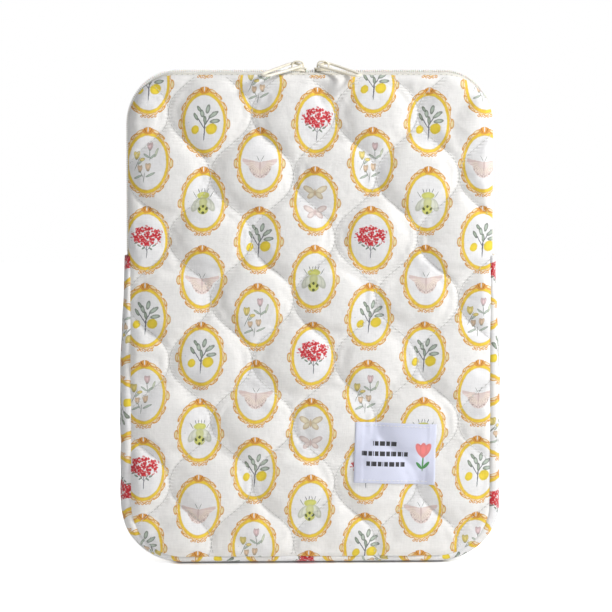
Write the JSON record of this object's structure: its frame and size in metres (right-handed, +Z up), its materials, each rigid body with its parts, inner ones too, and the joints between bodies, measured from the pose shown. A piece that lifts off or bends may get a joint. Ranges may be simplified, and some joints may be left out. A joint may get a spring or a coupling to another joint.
{
  "type": "laptop sleeve",
  "caption": "Slim padded sleeve with quilted cotton panels, an edge band and a zip with paired sliders round its upper half; the front folds down to take a laptop.",
  "frame": {"origin": "middle of the flat bottom edge that the sleeve stands on", "axes": "+Z up the sleeve, X across its width, front face with the label towards -Y"},
  "size_m": [0.27, 0.0384, 0.3584],
  "materials": {
    "quilted_cotton": "printed plain-weave cotton, quilted",
    "wadding": "needled polyester wadding",
    "lining_cloth": "smooth plain-weave lining",
    "binding_tape": "folded cotton tape",
    "zip_tape": "woven zip tape",
    "zip_coil": "satin nylon",
    "cream_metal": "glossy cream paint on a zinc casting",
    "label_cloth": "woven satin ribbon"
  },
  "bodies": {
    "shell": {"back_cover": "quilted_cotton", "back_wadding": "wadding", "back_lining": "lining_cloth", "back_seam_binding": "binding_tape", "front_lower_cover": "quilted_cotton", "front_lower_wadding": "wadding", "front_lower_lining": "lining_cloth", "front_lower_seam_binding": "binding_tape", "edge_band_cover": "quilted_cotton", "edge_band_wadding": "wadding", "edge_band_lining": "lining_cloth", "back_zip_tape": "zip_tape", "back_zip_coil": "zip_coil", "woven_label": "label_cloth", "zip_end_stop_left": "cream_metal", "zip_end_stop_right": "cream_metal"},
    "flap": {"front_upper_cover": "quilted_cotton", "front_upper_wadding": "wadding", "front_upper_lining": "lining_cloth", "front_upper_seam_binding": "binding_tape", "front_zip_tape": "zip_tape", "front_zip_coil": "zip_coil"},
    "slider_left": {"zip_slider_left": "cream_metal"},
    "slider_right": {"zip_slider_right": "cream_metal"},
    "pull_left": {"zip_pull_left": "cream_metal"},
    "pull_right": {"zip_pull_right": "cream_metal"}
  },
  "joints": [
    {"name": "flap_fold", "type": "hinge", "parent": "shell", "child": "flap", "pos_m": [0, -0.015, 0.22], "axis": [1, 0, 0], "range_deg": [0, 80], "stiffness_Nm_per_rad": 0.06},
    {"name": "slider_left_travel", "type": "slide", "parent": "flap", "child": "slider_left", "axis": [-1, 0, 0], "range_m": [0, 0.083]},
    {"name": "slider_right_travel", "type": "slide", "parent": "flap", "child": "slider_right", "axis": [1, 0, 0], "range_m": [0, 0.083]},
    {"name": "pull_left_swing", "type": "hinge", "parent": "slider_left", "child": "pull_left", "pos_m": [-0.0084, 0, 0.35598], "axis": [-0.6428, 0.766, 0], "range_deg": [0, 100]},
    {"name": "pull_right_swing", "type": "hinge", "parent": "slider_right", "child": "pull_right", "pos_m": [0.0084, 0, 0.35598], "axis": [-0.6428, -0.766, 0], "range_deg": [0, 100]}
  ]
}
